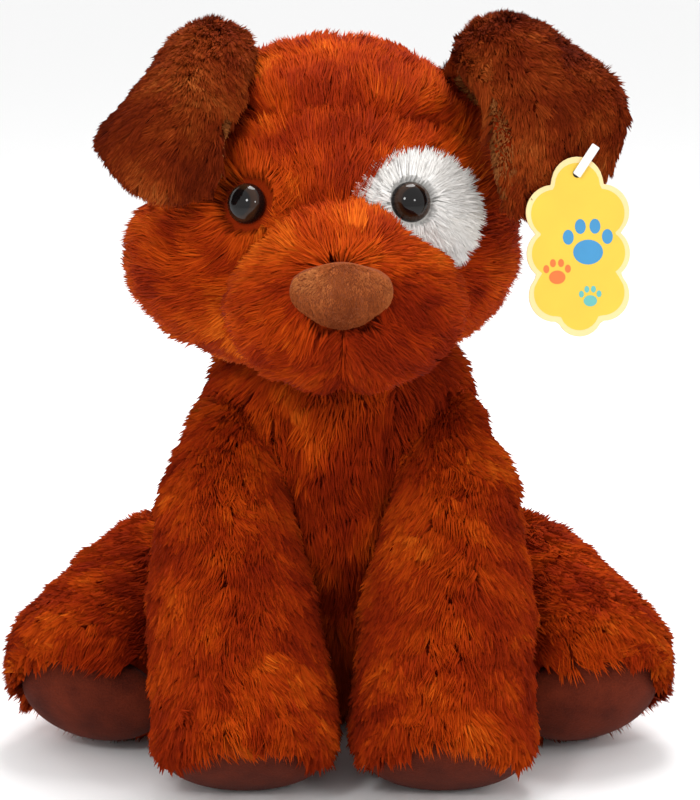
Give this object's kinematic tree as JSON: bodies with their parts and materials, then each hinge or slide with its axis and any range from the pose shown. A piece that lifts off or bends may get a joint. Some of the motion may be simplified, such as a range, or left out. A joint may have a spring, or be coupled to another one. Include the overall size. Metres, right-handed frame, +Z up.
{
  "type": "plush dog",
  "caption": "Seated plush dog with a long-pile orange-brown coat, folded ears, a white eye patch, suede soles and a plain hang tag.",
  "frame": {"origin": "middle of the flat seat face under the torso", "axes": "+Z up, -Y is where the dog looks, +X is its own left"},
  "size_m": [0.2436, 0.2395, 0.2856],
  "materials": {
    "orange_plush": "long soft pile, matte",
    "ear_plush": "shorter brown pile, matte",
    "ear_lining_velvet": "short light brown pile, matte",
    "white_plush": "long white pile, matte",
    "nose_velvet": "short dense pile, matte",
    "sole_suede": "dark brown suede, matte",
    "stuffing_fibre": "loose white fibre",
    "pellet_cloth": "plain woven bag of pellets",
    "eye_plastic": "black dome with a dark brown ring, glossy",
    "washer_plastic": "white, matte",
    "tag_card": "yellow printed card",
    "fastener_plastic": "translucent white",
    "label_satin": "white satin ribbon"
  },
  "bodies": {
    "torso": {"torso_cover": "orange_plush", "torso_stuffing": "stuffing_fibre", "pellet_bag": "pellet_cloth", "care_label": "label_satin"},
    "head": {"head_cover": "orange_plush", "muzzle_cover": "orange_plush", "head_stuffing": "stuffing_fibre", "muzzle_stuffing": "stuffing_fibre", "eye_patch": "white_plush", "nose": "nose_velvet", "eye_left": "eye_plastic", "eye_right": "eye_plastic", "eye_washer_left": "washer_plastic", "eye_washer_right": "washer_plastic", "ear_root_left": "ear_plush", "ear_root_right": "ear_plush"},
    "ear_left": {"ear_flap_left": "ear_plush", "ear_lining_left": "ear_lining_velvet", "tag_fastener": "fastener_plastic"},
    "front_leg_left": {"front_leg_cover_left": "orange_plush", "front_leg_stuffing_left": "stuffing_fibre", "front_sole_left": "sole_suede"},
    "hind_leg_left": {"hind_leg_cover_left": "orange_plush", "hind_leg_stuffing_left": "stuffing_fibre", "hind_sole_left": "sole_suede"},
    "ear_right": {"ear_flap_right": "ear_plush", "ear_lining_right": "ear_lining_velvet"},
    "front_leg_right": {"front_leg_cover_right": "orange_plush", "front_leg_stuffing_right": "stuffing_fibre", "front_sole_right": "sole_suede"},
    "hind_leg_right": {"hind_leg_cover_right": "orange_plush", "hind_leg_stuffing_right": "stuffing_fibre", "hind_sole_right": "sole_suede"},
    "tag": {"hang_tag": "tag_card"},
    "tail": {"tail_cover": "orange_plush", "tail_stuffing": "stuffing_fibre"}
  },
  "joints": [
    {"name": "neck_nod", "type": "hinge", "parent": "torso", "child": "head", "pos_m": [0, 0.004, 0.146], "axis": [1, 0, 0], "range_deg": [-12, 10], "stiffness_Nm_per_rad": 1.2, "springref_deg": -1.15},
    {"name": "shoulder_left", "type": "hinge", "parent": "torso", "child": "front_leg_left", "pos_m": [0.039, -0.034, 0.112], "axis": [-1, 0, 0], "range_deg": [0, 30], "stiffness_Nm_per_rad": 0.3},
    {"name": "shoulder_right", "type": "hinge", "parent": "torso", "child": "front_leg_right", "pos_m": [-0.039, -0.034, 0.112], "axis": [-1, 0, 0], "range_deg": [0, 30], "stiffness_Nm_per_rad": 0.3},
    {"name": "hip_left", "type": "hinge", "parent": "torso", "child": "hind_leg_left", "pos_m": [0.068, 0.014, 0.044], "axis": [-0.8725, -0.4886, 0], "range_deg": [0, 20], "stiffness_Nm_per_rad": 0.4},
    {"name": "hip_right", "type": "hinge", "parent": "torso", "child": "hind_leg_right", "pos_m": [-0.068, 0.014, 0.044], "axis": [-0.8725, 0.4886, 0], "range_deg": [0, 20], "stiffness_Nm_per_rad": 0.4},
    {"name": "ear_lift_left", "type": "hinge", "parent": "head", "child": "ear_left", "pos_m": [0.072, -0.036, 0.284], "axis": [-0.9404, -0.3401, 0], "range_deg": [0, 50]},
    {"name": "ear_lift_right", "type": "hinge", "parent": "head", "child": "ear_right", "pos_m": [-0.056, -0.034, 0.284], "axis": [-0.9404, 0.3401, 0], "range_deg": [0, 50]},
    {"name": "tail_wag", "type": "hinge", "parent": "torso", "child": "tail", "pos_m": [0, 0.074, 0.034], "axis": [0, 0, 1], "range_deg": [-25, 25], "stiffness_Nm_per_rad": 0.04},
    {"name": "tag_swing", "type": "hinge", "parent": "ear_left", "child": "tag", "pos_m": [0.086, -0.069, 0.229], "axis": [0.121, -0.9778, 0.1714], "range_deg": [-15, 25]}
  ]
}
